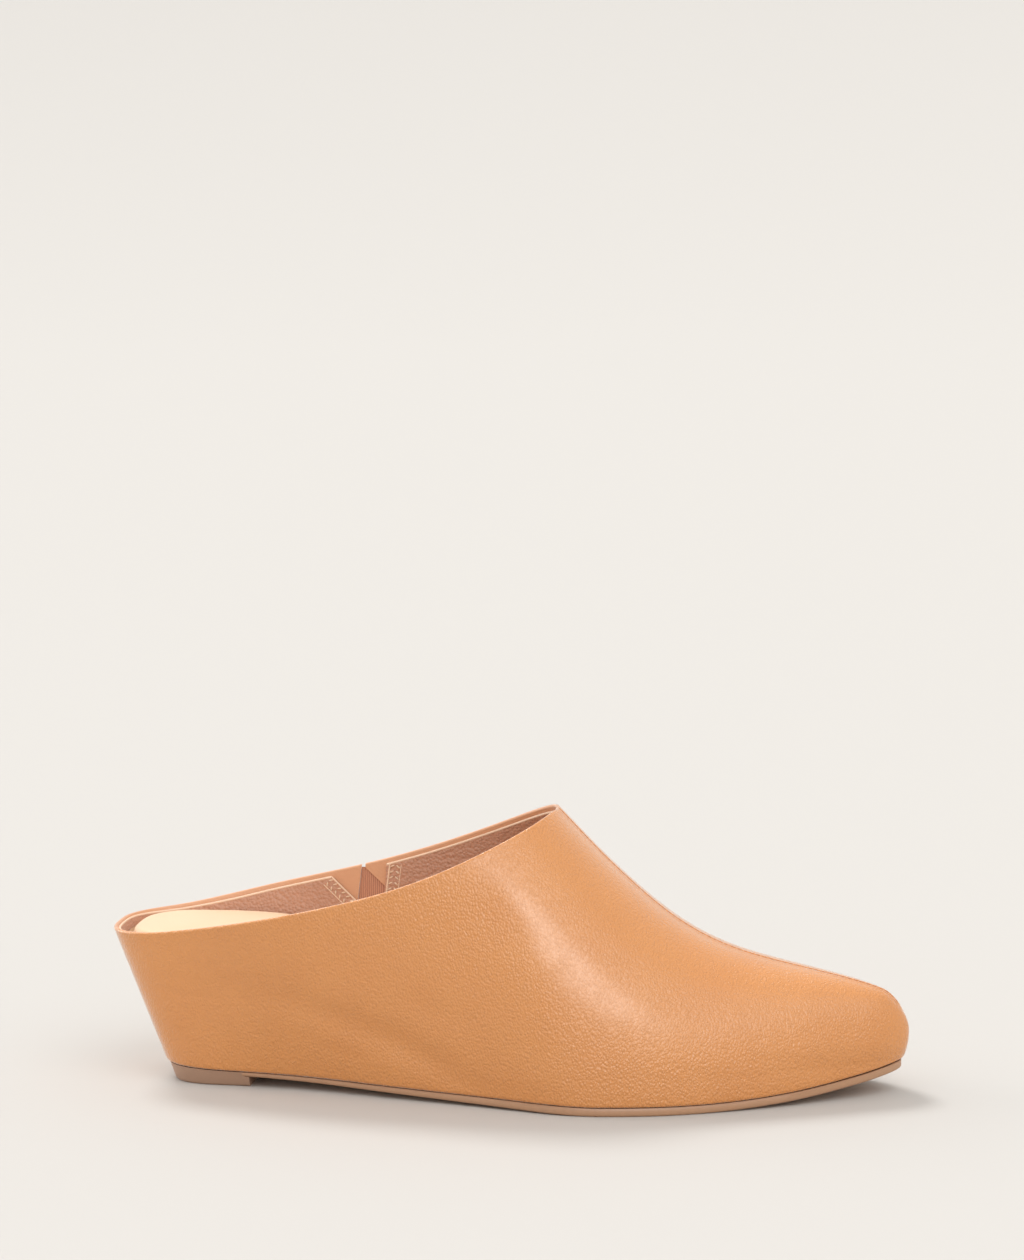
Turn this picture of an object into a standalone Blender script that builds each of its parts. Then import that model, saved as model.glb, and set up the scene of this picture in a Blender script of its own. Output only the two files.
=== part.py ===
"""Wedge mule: a right shoe, its parts as separate closed solids.

Metres, +Z up. +X runs to the toe and +Y to the medial side of the foot. The
origin is the centre of the heel lift's bottom face. Sections of the last are
worked out from the back of the collar, and place() moves them to the origin.
"""
import bmesh
import bpy
import numpy as np

MM = 0.001

# Driving sizes of the last
LENGTH = 254 * MM
BALL_WIDTH = 79 * MM
THROAT_HEIGHT = 89 * MM
VAMP_LENGTH = 111.5 * MM
COLLAR_BACK_HEIGHT = 48.5 * MM
BACK_RAKE = 17 * MM
WAIST_RISE = 4.6 * MM
TOE_SPRING = 8.4 * MM
HEEL_ROUND = 24 * MM
TOE_ROUND = 14 * MM
NOSE_ROUND = 9 * MM
NOSE_HEIGHT = 8 * MM
NOSE_TUCK = 1.5 * MM
HEEL_SQUARENESS = 3.0
TOE_SQUARENESS = 2.1
NOSE_SQUARENESS = 2.0
TREAD_BACK = 0.60
TREAD_BACK_BEND = 1.15
TREAD_FRONT = 0.70
TREAD_FRONT_BEND = 2.4

# Thicknesses and gaps
WALL = 2.0 * MM
RIM_ROUND = 0.5 * MM
GAP = 0.3 * MM
OUTSOLE_BALL = 3.0 * MM
OUTSOLE_WAIST = 1.6 * MM
OUTSOLE_WAIST_END = 0.10
OUTSOLE_BALL_START = 0.55
OUTSOLE_INSET = 0.8 * MM
OUTSOLE_BEVEL = 0.7 * MM
INSOLE = 3.6 * MM
INSOLE_ROUND = 1.4 * MM
INSOLE_ROUND_MIDDLE = 0.35
INSOLE_CROWN = 0.5 * MM
INSOLE_CROWN_STEPS = ((0.72, 0.7), (0.30, 1.0))
BOARD = 2.2 * MM
SEAT_HEIGHT = 49.6 * MM

# Heel lift
LIFT_LENGTH = 29.5 * MM
LIFT_TAPER = 1.7 * MM
LIFT_EDGE = 0.8 * MM
LIFT_LAP = 2.2 * MM

# Elastic gore in the medial wall
GORE_PLACE = 75.5 * MM
GORE_DEPTH = 22 * MM
GORE_WIDTH = 9.7 * MM
GORE_NOTCH = 1.3 * MM
GORE_THICKNESS = 1.0 * MM
GORE_TOP = 1.2 * MM
GORE_MIDDLE = (0.30, 0.55)
GORE_REACH = (0.12, 0.70)
GORE_CORNER_MARGIN = 1.5

# Fineness of the solids
SHARP_ANGLE = 40
COLLAR_RIBS = 34
VAMP_RIBS = 22
THROAT_FOOT = 0.62
END_CROWDING = 0.6
ROWS = 10
PLATE_STATIONS = 36
WEDGE_ROWS = 5

# Half widths of the bottom edge, as shares of the ball width, from back to toe
PLAN = {
    "at":      (0.00, 0.10, 0.20, 0.30, 0.40, 0.50, 0.56, 0.62,
                0.68, 0.74, 0.80, 0.86, 0.92, 0.96, 1.00),
    "lateral": (0.250, 0.253, 0.276, 0.344, 0.413, 0.486, 0.525, 0.521,
                0.491, 0.437, 0.366, 0.287, 0.190, 0.130, 0.085),
    "medial":  (0.250, 0.253, 0.255, 0.270, 0.305, 0.375, 0.425, 0.460,
                0.468, 0.452, 0.415, 0.355, 0.265, 0.185, 0.110),
}

# Sections: ridge height as a share of the throat height, swing of the middle
# as a share of the ball width, fullness of the wall and crown, and how far
# the lateral and medial walls lean outward
CROWN = {
    "at":    (0.00, 0.10, 0.20, 0.30, 0.40, 0.50, 0.55, 0.59, 0.62,
              0.66, 0.70, 0.74, 0.79, 0.84, 0.90, 0.95, 1.00),
    "ridge": (1.56, 1.56, 1.54, 1.50, 1.42, 1.25, 1.13, 1.00, 0.888,
              0.755, 0.645, 0.565, 0.502, 0.462, 0.422, 0.384, 0.330),
    "swing": (0.00, 0.00, 0.00, 0.00, 0.00, 0.00, 0.00, 0.00, 0.001,
              0.004, 0.008, 0.014, 0.022, 0.034, 0.047, 0.058, 0.068),
    "wall":  (0.70, 0.70, 0.68, 0.64, 0.60, 0.57, 0.56, 0.55, 0.55,
              0.55, 0.56, 0.57, 0.58, 0.60, 0.60, 0.60, 0.60),
    "crown": (0.80, 0.78, 0.74, 0.66, 0.58, 0.50, 0.47, 0.45, 0.45,
              0.46, 0.48, 0.50, 0.53, 0.56, 0.60, 0.62, 0.64),
    "lateral": (0.00, 0.11, 0.18, 0.115, 0.065, 0.045, 0.045, 0.05, 0.06,
                0.07, 0.08, 0.09, 0.10, 0.10, 0.10, 0.10, 0.10),
    "medial":  (0.00, 0.11, 0.18, 0.155, 0.120, 0.090, 0.075, 0.065, 0.06,
                0.07, 0.08, 0.09, 0.10, 0.10, 0.10, 0.10, 0.10),
}

# Rise of the collar from the back to the throat, as shares of that rise
COLLAR = {
    "along":   (0.0, 0.10, 0.20, 0.30, 0.40, 0.50, 0.60, 0.70, 0.80, 0.90, 1.00),
    "lateral": (0.0, 0.025, 0.080, 0.148, 0.222, 0.302, 0.395, 0.510, 0.655, 0.825, 1.00),
    "medial":  (0.0, 0.035, 0.105, 0.188, 0.270, 0.355, 0.450, 0.560, 0.688, 0.835, 1.00),
}

# Fall of the footbed from the heel seat to the ball, along the length
FOOTBED = {
    "along": (0.00, 0.06, 0.12, 0.20, 0.28, 0.36, 0.44, 0.52, 0.60, 0.66, 0.72, 1.00),
    "rise":  (1.00, 1.005, 1.00, 0.985, 0.885, 0.680, 0.430, 0.215, 0.070, 0.015, 0.00, 0.00),
}

# Corners of the gore: shares of its width forward of the notch, and of its
# depth below the collar
GORE = {
    "across": (-0.20, 0.67, 0.80),
    "down":   (0.57, 1.00, 0.44),
}


def spline(xs, ys, at):
    """Natural cubic through the points (xs, ys), read at the stations at."""
    xs, ys = np.asarray(xs, float), np.asarray(ys, float)
    at = np.asarray(at, float)
    count, steps = len(xs), np.diff(xs)
    slopes = np.diff(ys) / steps
    matrix, right = np.eye(count), np.zeros(count)
    for i in range(1, count - 1):
        matrix[i, i - 1:i + 2] = steps[i - 1], 2 * (steps[i - 1] + steps[i]), steps[i]
        right[i] = 6 * (slopes[i] - slopes[i - 1])
    bend = np.linalg.solve(matrix, right)
    k = np.clip(np.searchsorted(xs, at) - 1, 0, count - 2)
    run, step = at - xs[k], steps[k]
    start = slopes[k] - step * (2 * bend[k] + bend[k + 1]) / 6
    return ys[k] + start * run + bend[k] / 2 * run**2 + (bend[k + 1] - bend[k]) / (6 * step) * run**3


def column(table, name, at):
    """A table's column, smoothly read at the stations in its first column."""
    return spline(next(iter(table.values())), table[name], at)


def ease(distance, reach, squareness):
    """1 away from an end, falling to 0 at the end along a rounded outline."""
    short = np.clip(1 - distance / reach, 0, 1)
    return (1 - short**squareness) ** (1 / squareness)


def tread(at):
    """Height of the outsole's underside: up at the waist, flat at the ball, sprung at the toe."""
    at = np.asarray(at, float)
    back = WAIST_RISE * np.clip(1 - at / TREAD_BACK, 0, 1) ** TREAD_BACK_BEND
    front = np.clip((at - TREAD_FRONT) / (1 - TREAD_FRONT), 0, 1) ** TREAD_FRONT_BEND
    return back + TOE_SPRING * front


def feather(at):
    """Height of the upper's bottom edge."""
    run = OUTSOLE_BALL_START - OUTSOLE_WAIST_END
    full = np.clip((np.asarray(at, float) - OUTSOLE_WAIST_END) / run, 0, 1)
    return tread(at) + OUTSOLE_WAIST + (OUTSOLE_BALL - OUTSOLE_WAIST) * full


def station_of(x):
    """Station of the bottom edge at x."""
    return np.clip((np.asarray(x, float) - BACK_RAKE) / (LENGTH - BACK_RAKE), 0, 1)


def section(side, at, t):
    """Point of the upper's outside: side -1 lateral, 1 medial, t 0 at the bottom edge, 1 at the ridge."""
    at, t = np.broadcast_arrays(np.asarray(at, float), np.asarray(t, float))
    to_toe = (1 - at) * LENGTH
    low = feather(at)
    nose = low + NOSE_HEIGHT
    above = column(CROWN, "ridge", at) * THROAT_HEIGHT - nose
    high = nose + above * ease(to_toe, NOSE_ROUND, NOSE_SQUARENESS)
    toe_end = ease(to_toe, TOE_ROUND, TOE_SQUARENESS)
    name = "medial" if side > 0 else "lateral"
    wide = column(PLAN, name, at) * BALL_WIDTH
    wide = wide * ease(at * LENGTH, HEEL_ROUND, HEEL_SQUARENESS) * toe_end
    s = 1 - t
    up = 3 * s * s * t * column(CROWN, "wall", at) + 3 * s * t * t + t**3
    out = s**3 + 3 * s * s * t + 3 * s * t * t * column(CROWN, "crown", at)
    z = low + (high - low) * up
    lean = toe_end * column(CROWN, name, at) * (z - low) * (1 - t**3)
    y = column(CROWN, "swing", at) * BALL_WIDTH + side * (wide * out + lean)
    back = BACK_RAKE * (COLLAR_BACK_HEIGHT - z) / (COLLAR_BACK_HEIGHT - float(feather(0.0)))
    under_nose = np.clip((float(feather(1.0)) + NOSE_HEIGHT - z) / NOSE_HEIGHT, 0, 1)
    x = back * (1 - at) + (LENGTH - NOSE_TUCK * under_nose**2) * at
    return np.stack([x, y, z], -1)


def throat():
    """Station and point where the collar meets the ridge."""
    at = np.linspace(0.3, 0.9, 1201)
    ridge = section(1, at, 1.0)
    station = float(np.interp(LENGTH - VAMP_LENGTH, ridge[:, 0], at))
    return station, section(1, station, 1.0)


def collar_height(side, x):
    """Height of the collar's edge beside a point of the length."""
    top = throat()[1]
    rise = column(COLLAR, "medial" if side > 0 else "lateral", np.clip(x / top[0], 0, 1))
    return COLLAR_BACK_HEIGHT + (top[2] - COLLAR_BACK_HEIGHT) * rise


def crossing(side, stations, height):
    """The t of each station where the upper's outside reaches height(x)."""
    ts = np.linspace(0, 1, 241)
    points = section(side, stations[:, None], ts[None, :])
    over = points[..., 2] - height(points[..., 0])
    over[:, 0] = np.minimum(over[:, 0], 0)
    found = []
    for row in over:
        i = int(np.argmax(row > 0))
        found.append(1.0 if i == 0 else float(np.interp(0, row[i - 1:i + 1], ts[i - 1:i + 1])))
    return np.array(found)


def along_arc(points, shares):
    """Places, as fractional indices, at shares of the length of a line of points."""
    walked = np.concatenate([[0], np.cumsum(np.linalg.norm(np.diff(points, axis=0), axis=1))])
    return np.interp(np.asarray(shares) * walked[-1], walked, np.arange(len(points)))


def crowded(count):
    """Shares from 0 to 1 that lie closer together near 0, where the ends turn."""
    w = np.linspace(0, 1, count + 1)
    return END_CROWDING * (1 - np.cos(0.5 * np.pi * w)) + (1 - END_CROWDING) * w


def ribs(side):
    """Foot stations, top stations and top t values of the ribs from the back to the toe."""
    dense = 0.5 * (1 - np.cos(np.pi * np.linspace(0, 1, 1601)))
    feet_line = section(-1, dense, 0.0)
    middle = throat()[0]
    collar_at = middle * (1 - (1 - 0.5 * (1 - np.cos(np.pi * np.linspace(0, 1, 801)))) ** 1.5)
    collar_t = crossing(side, collar_at, lambda x: collar_height(side, x))
    collar_t[-1] = 1.0
    picked = along_arc(section(side, collar_at, collar_t), crowded(COLLAR_RIBS))
    steps = np.arange(len(collar_at))
    top_at = np.interp(picked, steps, collar_at)
    top_t = np.interp(picked, steps, collar_t)
    ridge_at = middle + (1 - middle) * np.sin(0.5 * np.pi * np.linspace(0, 1, 801))
    picked = along_arc(section(side, ridge_at, 1.0), 1 - crowded(VAMP_RIBS)[::-1])[1:]
    top_at = np.concatenate([top_at, np.interp(picked, np.arange(len(ridge_at)), ridge_at)])
    top_t = np.concatenate([top_t, np.ones(VAMP_RIBS)])
    back = THROAT_FOOT * crowded(COLLAR_RIBS)
    front = 1 - (1 - THROAT_FOOT) * crowded(VAMP_RIBS)[::-1]
    shares = np.concatenate([back, front[1:]])
    feet = np.interp(along_arc(feet_line, shares), np.arange(len(dense)), dense)
    return feet, top_at, top_t


def place(points):
    """From the back of the collar to the part's origin."""
    return np.asarray(points, float) - (BACK_RAKE + LIFT_LENGTH / 2, 0, 0)


def material(name, colour, roughness):
    """A plain Principled material."""
    finish = bpy.data.materials.new(name)
    finish.use_nodes = True
    shader = finish.node_tree.nodes["Principled BSDF"]
    shader.inputs["Base Color"].default_value = (*colour, 1.0)
    shader.inputs["Roughness"].default_value = roughness
    return finish


def add_object(name, mesh_data, finish=None):
    """Turn a bmesh into an object of the scene."""
    bmesh.ops.recalc_face_normals(mesh_data, faces=mesh_data.faces)
    mesh = bpy.data.meshes.new(name)
    mesh_data.to_mesh(mesh)
    mesh_data.free()
    mesh.shade_smooth()
    mesh.set_sharp_from_angle(angle=np.radians(SHARP_ANGLE))
    piece = bpy.data.objects.new(name, mesh)
    bpy.context.scene.collection.objects.link(piece)
    if finish:
        mesh.materials.append(finish)
    return piece


def shell(name, outside, inside, finish):
    """The hollow form of the upper, from a depth outside to a depth inside its outer face."""
    work = bmesh.new()
    last = COLLAR_RIBS + VAMP_RIBS
    corners = {}
    for side in (-1, 1):
        feet, tops, top_t = ribs(side)
        for row in range(ROWS + 1):
            v = row / ROWS
            stations = feet + (tops - feet) * v
            for rib, point in enumerate(section(side, stations, top_t * v)):
                shared = rib in (0, last) or (row == ROWS and rib >= COLLAR_RIBS)
                key = (0 if shared else side, rib, row)
                if key not in corners:
                    corners[key] = work.verts.new(place(point))

    def corner(side, rib, row):
        return corners.get((side, rib, row)) or corners[0, rib, row]

    for side in (-1, 1):
        for rib in range(last):
            for row in range(ROWS):
                quad = [corner(side, rib, row), corner(side, rib + 1, row),
                        corner(side, rib + 1, row + 1), corner(side, rib, row + 1)]
                work.faces.new(quad if side < 0 else quad[::-1])
    work.normal_update()
    inner = {}
    for key, vert in corners.items():
        foot = vert.co.z
        normal = vert.normal.copy()
        inner[vert] = work.verts.new(vert.co - normal * inside)
        vert.co -= normal * outside
        if key[2] == 0:
            inner[vert].co.z = foot
            vert.co.z = foot
    for face in list(work.faces):
        work.faces.new([inner[vert] for vert in reversed(face.verts)])
    for side in (-1, 1):
        for rib in range(last):
            a, b = corner(side, rib, 0), corner(side, rib + 1, 0)
            work.faces.new([a, inner[a], inner[b], b])
    rim = {}
    for side in (-1, 1):
        for rib in range(COLLAR_RIBS):
            a, b = corner(side, rib, ROWS), corner(side, rib + 1, ROWS)
            for vert in (a, b):
                if vert not in rim:
                    rim[vert] = work.verts.new((vert.co + inner[vert].co) / 2)
                    rim[vert].co.z += RIM_ROUND
            work.faces.new([a, b, rim[b], rim[a]])
            work.faces.new([rim[a], rim[b], inner[b], inner[a]])
    return add_object(name, work, finish)


def outline(height, inset):
    """Plan of the upper at height(x), moved in from its outside, as x, lateral y and medial y lines."""
    dense = 0.5 * (1 - np.cos(np.pi * np.linspace(0, 1, 321)))

    def loop(lift):
        sides = []
        for side in (-1, 1):
            t = crossing(side, dense, lambda x: height(x) + lift)
            sides.append(section(side, dense, t)[:, :2])
        return np.concatenate([sides[0], sides[1][-2:0:-1]])

    points = loop(0.0)
    along = np.roll(points, -1, axis=0) - np.roll(points, 1, axis=0)
    outward = np.stack([along[:, 1], -along[:, 0]], -1)
    outward /= np.linalg.norm(outward, axis=1)[:, None]
    slope = np.sum((loop(MM) - points) * outward, axis=1) / MM
    points = points - outward * (inset * np.sqrt(1 + slope**2))[:, None]
    count = len(dense)
    lateral = points[:count]
    medial = np.concatenate([points[:1], points[:count - 2:-1]])
    return lateral[np.argsort(lateral[:, 0])], medial[np.argsort(medial[:, 0])]


def plan_ring(edges, height, start=None, end=None):
    """A closed ring of points round an outline, at height(x), from x start to x end."""
    lateral, medial = edges
    first = lateral[0, 0] if start is None else start
    final = min(lateral[-1, 0], medial[-1, 0]) if end is None else end
    w = np.linspace(0, 1, PLATE_STATIONS)
    if start is not None:
        share = np.sin(0.5 * np.pi * w)
    elif end is not None:
        share = 1 - np.cos(0.5 * np.pi * w)
    else:
        share = 0.5 * (1 - np.cos(np.pi * w))
    x = first + (final - first) * share
    z = height(x)
    left = np.stack([x, np.interp(x, lateral[:, 0], lateral[:, 1]), z], -1)
    right = np.stack([x, np.interp(x, medial[:, 0], medial[:, 1]), z], -1)
    if start is None:
        right[0] = left[0] = (left[0] + right[0]) / 2
    if end is None:
        right[-1] = left[-1] = (left[-1] + right[-1]) / 2
    return np.concatenate([left, right[::-1]])


def drawn_in(ring, share, rise):
    """A ring drawn in toward its middle line and ends, and raised."""
    ring = ring.copy()
    middle = (ring + ring[::-1]) / 2
    centre = ring[:, 0].mean()
    ring[:, 1] = middle[:, 1] + (ring[:, 1] - middle[:, 1]) * share
    ring[:, 0] = centre + (ring[:, 0] - centre) * (1 - (1 - share) * 0.1)
    ring[:, 2] += rise
    return ring


def stack(name, rings, finish):
    """A closed solid through rings from bottom to top, capped by strips across."""
    work = bmesh.new()
    rows = [[work.verts.new(place(point)) for point in ring] for ring in rings]
    count = len(rings[0])
    for low, high in zip(rows, rows[1:]):
        for i in range(count):
            j = (i + 1) % count
            work.faces.new([low[i], low[j], high[j], high[i]])
    for row in (rows[0], rows[-1]):
        for i in range(count // 2 - 1):
            work.faces.new([row[i], row[i + 1], row[-2 - i], row[-1 - i]])
    bmesh.ops.remove_doubles(work, verts=work.verts, dist=1e-6)
    return add_object(name, work, finish)


def cutter(name, mesh_data):
    """A hidden object that only cuts others."""
    piece = add_object(name, mesh_data)
    piece.hide_render = True
    piece.display_type = "WIRE"
    return piece


def cut(piece, tool, operation):
    """Cut a piece with another object, or keep only what lies in it."""
    step = piece.modifiers.new(tool.name, "BOOLEAN")
    step.operation = operation
    step.object = tool
    step.solver = "EXACT"


def gore_prism(name, margin, top):
    """A prism through the medial wall with the gore's outline, grown by a margin."""
    middle = GORE_PLACE + GORE_WIDTH * GORE_MIDDLE[0]
    rim = float(collar_height(1, GORE_PLACE))
    centre = rim - GORE_DEPTH * GORE_MIDDLE[1]
    half = GORE_NOTCH / 2
    outline_xz = [(GORE_PLACE + half + margin, top), (GORE_PLACE - half - margin, top)]
    outline_xz.append((GORE_PLACE - half - margin, rim - GORE_TOP))
    for across, down in zip(GORE["across"], GORE["down"]):
        x = GORE_PLACE + GORE_WIDTH * across
        z = float(collar_height(1, x)) - GORE_DEPTH * down
        away = np.array([x - middle, z - centre])
        away *= GORE_CORNER_MARGIN * margin / np.linalg.norm(away)
        outline_xz.append((x + away[0], z + away[1]))
    outline_xz.append((GORE_PLACE + half + margin, rim - GORE_TOP))
    near, far = (BALL_WIDTH * share for share in GORE_REACH)
    work = bmesh.new()
    front = [work.verts.new(place((x, near, z))) for x, z in outline_xz]
    back = [work.verts.new(place((x, far, z))) for x, z in outline_xz]
    work.faces.new(front)
    work.faces.new(back[::-1])
    for i in range(len(front)):
        j = (i + 1) % len(front)
        work.faces.new([front[i], back[i], back[j], front[j]])
    return cutter(name, work)


def upper(finish):
    """The leather shell, with the notch of the gore through its medial wall."""
    piece = shell("upper", 0.0, WALL, finish)
    cut(piece, gore_prism("gore_notch", 0.0, THROAT_HEIGHT), "DIFFERENCE")


def gore(finish):
    """The elastic panel in the notch, thinner than the wall round it."""
    depth = (WALL - GORE_THICKNESS) / 2
    piece = shell("gore", depth, depth + GORE_THICKNESS, finish)
    top = float(collar_height(1, GORE_PLACE)) - GORE_TOP
    cut(piece, gore_prism("gore_outline", -GAP, top), "INTERSECT")


def underside(x):
    """Height of the outsole's underside at x."""
    return tread(station_of(x))


def bottom_edge(x):
    """Height of the upper's bottom edge at x."""
    return feather(station_of(x))


def footbed(x):
    """Height of the insole's top along the shoe."""
    low = bottom_edge(x) + BOARD + INSOLE + GAP
    seat = SEAT_HEIGHT - float(feather(0.0)) - BOARD - INSOLE - GAP
    return low + seat * np.clip(column(FOOTBED, "rise", np.asarray(x, float) / LENGTH), 0, None)


def insole_level(below):
    """Height of the insole's top less a depth, as a function of x."""
    return lambda x: footbed(x) - below


def insole(finish):
    """The padded footbed on the wedge."""
    inset = WALL + GAP
    middle = INSOLE_ROUND * INSOLE_ROUND_MIDDLE
    rings = []
    for below, inward in ((INSOLE, 0.0), (INSOLE_ROUND, 0.0), (middle, middle), (0.0, INSOLE_ROUND)):
        level = insole_level(below)
        rings.append(plan_ring(outline(level, inset + inward), level))
    top = rings[-1]
    for share, rise in INSOLE_CROWN_STEPS:
        rings.append(drawn_in(top, share, INSOLE_CROWN * rise))
    stack("insole", rings, finish)


def wedge(finish):
    """The heel wedge inside the leather, down to a thin board under the forefoot."""
    rings = []
    for row in range(WEDGE_ROWS + 1):
        share = row / WEDGE_ROWS

        def level(x, share=share):
            top = footbed(x) - INSOLE - GAP
            return bottom_edge(x) + (top - bottom_edge(x)) * share

        rings.append(plan_ring(outline(level, WALL + GAP), level))
    stack("wedge", rings, finish)


def outsole(finish):
    """The thin sole, bevelled below, from its lap over the lift to the toe."""
    start = BACK_RAKE + LIFT_LENGTH - LIFT_LAP
    edge = outline(bottom_edge, OUTSOLE_INSET)
    bevelled = outline(bottom_edge, OUTSOLE_INSET + OUTSOLE_BEVEL)
    stack("outsole", [
        plan_ring(bevelled, underside, start=start),
        plan_ring(edge, lambda x: underside(x) + OUTSOLE_BEVEL, start=start),
        plan_ring(edge, lambda x: bottom_edge(x) - GAP, start=start),
    ], finish)


def heel_lift(finish):
    """The low lift under the back of the sole, lapped by the outsole's end."""
    end = BACK_RAKE + LIFT_LENGTH
    rings = []
    for inward, height in ((LIFT_EDGE, 0.0), (0.0, LIFT_EDGE)):
        edge = outline(bottom_edge, OUTSOLE_INSET + LIFT_TAPER + inward)
        rings.append(plan_ring(edge, lambda x, height=height: np.full_like(x, height), end=end))
    edge = outline(bottom_edge, OUTSOLE_INSET)
    rings.append(plan_ring(edge, lambda x: bottom_edge(x) - GAP, end=end))
    piece = stack("heel_lift", rings, finish)
    lap = end - LIFT_LAP
    floor = float(underside(end)) - GAP
    work = bmesh.new()
    bmesh.ops.create_cube(work, size=1.0)
    size = (2 * LIFT_LAP, BALL_WIDTH, 4 * OUTSOLE_BALL)
    bmesh.ops.scale(work, verts=work.verts, vec=size)
    centre = place((lap - GAP + LIFT_LAP, 0, floor + 2 * OUTSOLE_BALL))
    bmesh.ops.translate(work, verts=work.verts, vec=centre)
    cut(piece, cutter("lap_step", work), "DIFFERENCE")


def build():
    """Clear the scene and make every sub-part."""
    for old in list(bpy.data.objects):
        bpy.data.objects.remove(old)
    upper(material("tan_leather", (0.62, 0.33, 0.15), 0.45))
    gore(material("elastic", (0.66, 0.38, 0.26), 0.8))
    insole(material("footbed_leather", (0.80, 0.58, 0.38), 0.5))
    wedge(material("wedge_core", (0.55, 0.42, 0.30), 0.8))
    outsole(material("sole_leather", (0.62, 0.42, 0.28), 0.5))
    heel_lift(material("lift_rubber", (0.36, 0.24, 0.17), 0.6))


build()
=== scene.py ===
"""Looks of the wedge mule: leather, lining, seams, gore, footbed, sole and studio.

Metres, +Z up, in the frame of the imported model. +X runs to the toe and +Y to
the medial side. Sections are worked out from the back of the collar, as the
solids are, and place() moves them to the origin under the heel lift.
"""

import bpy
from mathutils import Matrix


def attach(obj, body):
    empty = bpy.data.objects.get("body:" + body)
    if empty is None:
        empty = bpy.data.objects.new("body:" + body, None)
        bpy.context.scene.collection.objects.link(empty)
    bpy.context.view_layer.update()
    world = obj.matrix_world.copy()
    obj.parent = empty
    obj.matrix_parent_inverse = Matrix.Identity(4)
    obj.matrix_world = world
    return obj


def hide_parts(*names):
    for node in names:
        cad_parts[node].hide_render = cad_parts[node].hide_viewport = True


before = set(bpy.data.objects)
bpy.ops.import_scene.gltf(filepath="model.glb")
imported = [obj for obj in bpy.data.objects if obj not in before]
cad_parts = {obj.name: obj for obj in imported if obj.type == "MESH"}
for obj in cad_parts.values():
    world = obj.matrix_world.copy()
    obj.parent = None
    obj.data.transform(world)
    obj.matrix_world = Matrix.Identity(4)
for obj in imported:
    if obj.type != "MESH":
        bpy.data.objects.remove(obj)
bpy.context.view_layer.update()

import math

import bmesh
import bpy
import numpy as np
from mathutils import Matrix, Vector

MM = 0.001

# Driving sizes of the last
LENGTH = 254 * MM
BALL_WIDTH = 79 * MM
THROAT_HEIGHT = 89 * MM
VAMP_LENGTH = 111.5 * MM
COLLAR_BACK_HEIGHT = 48.5 * MM
BACK_RAKE = 17 * MM
WAIST_RISE = 4.6 * MM
TOE_SPRING = 8.4 * MM
HEEL_ROUND = 24 * MM
TOE_ROUND = 14 * MM
NOSE_ROUND = 9 * MM
NOSE_HEIGHT = 8 * MM
NOSE_TUCK = 1.5 * MM
HEEL_SQUARENESS = 3.0
TOE_SQUARENESS = 2.1
NOSE_SQUARENESS = 2.0
TREAD_BACK = 0.60
TREAD_BACK_BEND = 1.15
TREAD_FRONT = 0.70
TREAD_FRONT_BEND = 2.4

# Thicknesses and gaps
WALL = 2.0 * MM
GAP = 0.3 * MM
OUTSOLE_BALL = 3.0 * MM
OUTSOLE_WAIST = 1.6 * MM
OUTSOLE_WAIST_END = 0.10
OUTSOLE_BALL_START = 0.55
OUTSOLE_INSET = 0.8 * MM
OUTSOLE_BEVEL = 0.7 * MM
INSOLE = 3.6 * MM
INSOLE_CROWN = 0.5 * MM
BOARD = 2.2 * MM
SEAT_HEIGHT = 49.6 * MM

# Heel lift
LIFT_LENGTH = 29.5 * MM
LIFT_TAPER = 1.7 * MM
LIFT_EDGE = 0.8 * MM
LIFT_LAP = 2.2 * MM
LAP_PLAY = 0.1 * MM
LAP_SLOPE = 0.9 * MM

# Where the part's origin lies, from the back of the collar
ORIGIN = (BACK_RAKE + LIFT_LENGTH / 2, 0, 0)

# Elastic gore in the medial wall
GORE_PLACE = 75.5 * MM
GORE_DEPTH = 22 * MM
GORE_WIDTH = 9.7 * MM
GORE_NOTCH = 1.3 * MM
GORE_TOP = 1.2 * MM
GORE_MIDDLE = (0.30, 0.55)
GORE_REACH = (0.12, 0.70)
GORE_CORNER_MARGIN = 1.5

# Half widths of the bottom edge, as shares of the ball width, from back to toe
PLAN = {
    "at":      (0.00, 0.10, 0.20, 0.30, 0.40, 0.50, 0.56, 0.62,
                0.68, 0.74, 0.80, 0.86, 0.92, 0.96, 1.00),
    "lateral": (0.250, 0.253, 0.276, 0.344, 0.413, 0.486, 0.525, 0.521,
                0.491, 0.437, 0.366, 0.287, 0.190, 0.130, 0.085),
    "medial":  (0.250, 0.253, 0.255, 0.270, 0.305, 0.375, 0.425, 0.460,
                0.468, 0.452, 0.415, 0.355, 0.265, 0.185, 0.110),
}

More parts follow.
